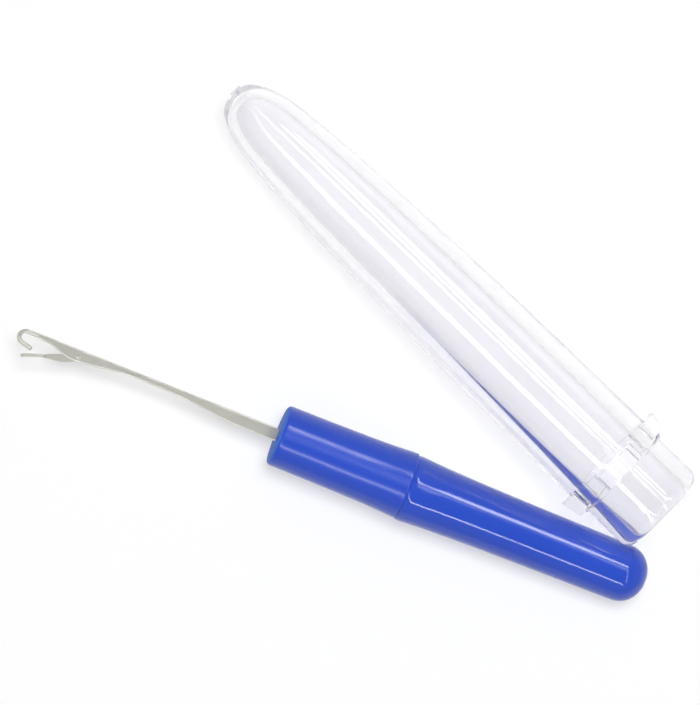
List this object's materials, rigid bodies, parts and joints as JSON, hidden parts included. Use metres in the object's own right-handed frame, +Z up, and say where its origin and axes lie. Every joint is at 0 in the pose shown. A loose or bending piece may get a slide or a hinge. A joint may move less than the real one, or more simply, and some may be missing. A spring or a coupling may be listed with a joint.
{
  "type": "latch hook tool",
  "caption": "Latch hook with a riveted swinging latch on a flat needle, blue plastic handle, and its clear cap with a lugged collar lying beside it.",
  "frame": {"origin": "on the table under the middle of the whole, centre of the bounding box", "axes": "+X along the cap towards its nose, the long way of the whole; +Z up; the needle points 22.5 degrees from +X towards +Y"},
  "size_m": [0.103, 0.0636, 0.0203],
  "materials": {
    "blue_plastic": "gloss",
    "needle_steel": "satin",
    "clear_plastic": "clear gloss"
  },
  "bodies": {
    "tool": {"handle": "blue_plastic", "needle": "needle_steel", "latch_rivet": "needle_steel"},
    "latch": {"latch": "needle_steel"},
    "cap": {"cap": "clear_plastic"}
  },
  "joints": [
    {"name": "latch_swing", "type": "hinge", "parent": "tool", "child": "latch", "pos_m": [0.03953, 0.02547, 0.00681], "axis": [-0.0207, -0.0086, 0.9997], "range_deg": [-4, 135]},
    {"name": "cap_slide", "type": "slide", "parent": "tool", "child": "cap", "axis": [1, 0, 0], "range_m": [0, 0.1]}
  ]
}
